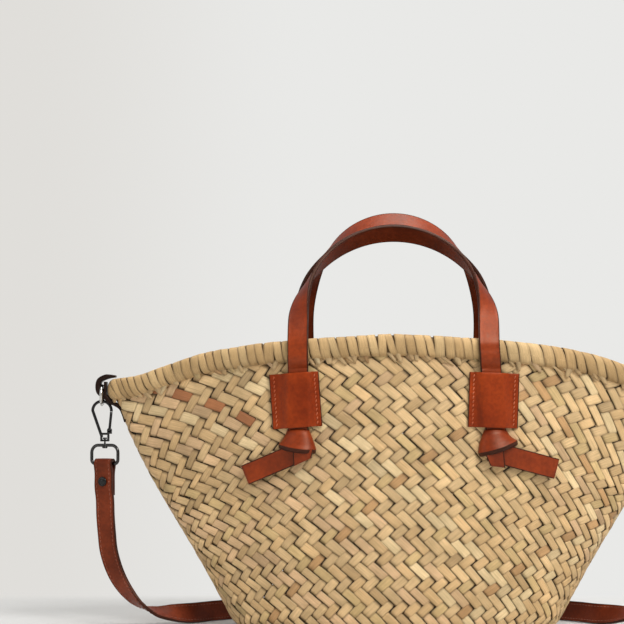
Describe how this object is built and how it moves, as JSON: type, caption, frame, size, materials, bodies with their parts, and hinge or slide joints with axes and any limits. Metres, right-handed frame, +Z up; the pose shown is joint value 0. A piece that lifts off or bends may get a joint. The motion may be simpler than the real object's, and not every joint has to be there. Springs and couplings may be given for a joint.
{
  "type": "straw basket bag with leather handles and shoulder strap",
  "caption": "Woven straw tote with a pinched mouth, wrapped rim, two knotted leather handles under stitched patches and a clip-on leather shoulder strap.",
  "frame": {"origin": "middle of the flat base, on the surface the bag stands on", "axes": "+X along the bag to its right-hand corner, -Y towards the bag's front, +Z up"},
  "size_m": [0.45, 0.1654, 0.3041],
  "materials": {
    "straw": "plaited palm leaf strips, matt with a faint sheen, varied from strip to strip",
    "leather": "smooth veg-tanned leather, reddish brown, satin",
    "metal": "polished dark nickel"
  },
  "bodies": {
    "root": {"basket_body": "straw", "rim": "straw", "tab_front_left": "leather", "tab_front_right": "leather", "tab_back_left": "leather", "tab_back_right": "leather", "handle_front": "leather", "handle_back": "leather", "side_loop_left": "leather", "side_loop_right": "leather", "shoulder_strap": "leather", "loop_ring_left": "metal", "loop_ring_right": "metal", "strap_ring_left": "metal", "strap_ring_right": "metal", "rivet_left": "metal", "rivet_right": "metal"},
    "hook_left": {"hook_left": "metal"},
    "hook_right": {"hook_right": "metal"},
    "gate_left": {"gate_left": "metal"},
    "gate_right": {"gate_right": "metal"}
  },
  "joints": [
    {"name": "hook_swivel_left", "type": "hinge", "parent": "root", "child": "hook_left", "pos_m": [-0.21365, 0, 0.1379], "axis": [0, 0, 1], "range_deg": [-30, 30]},
    {"name": "hook_swivel_right", "type": "hinge", "parent": "root", "child": "hook_right", "pos_m": [0.21365, 0, 0.1379], "axis": [0, 0, 1], "range_deg": [-30, 30]},
    {"name": "gate_hinge_left", "type": "hinge", "parent": "hook_left", "child": "gate_left", "pos_m": [-0.21025, 0, 0.1429], "axis": [0, -1, 0], "range_deg": [0, 20], "stiffness_Nm_per_rad": 0.003},
    {"name": "gate_hinge_right", "type": "hinge", "parent": "hook_right", "child": "gate_right", "pos_m": [0.21025, 0, 0.1429], "axis": [0, 1, 0], "range_deg": [0, 20], "stiffness_Nm_per_rad": 0.003}
  ]
}
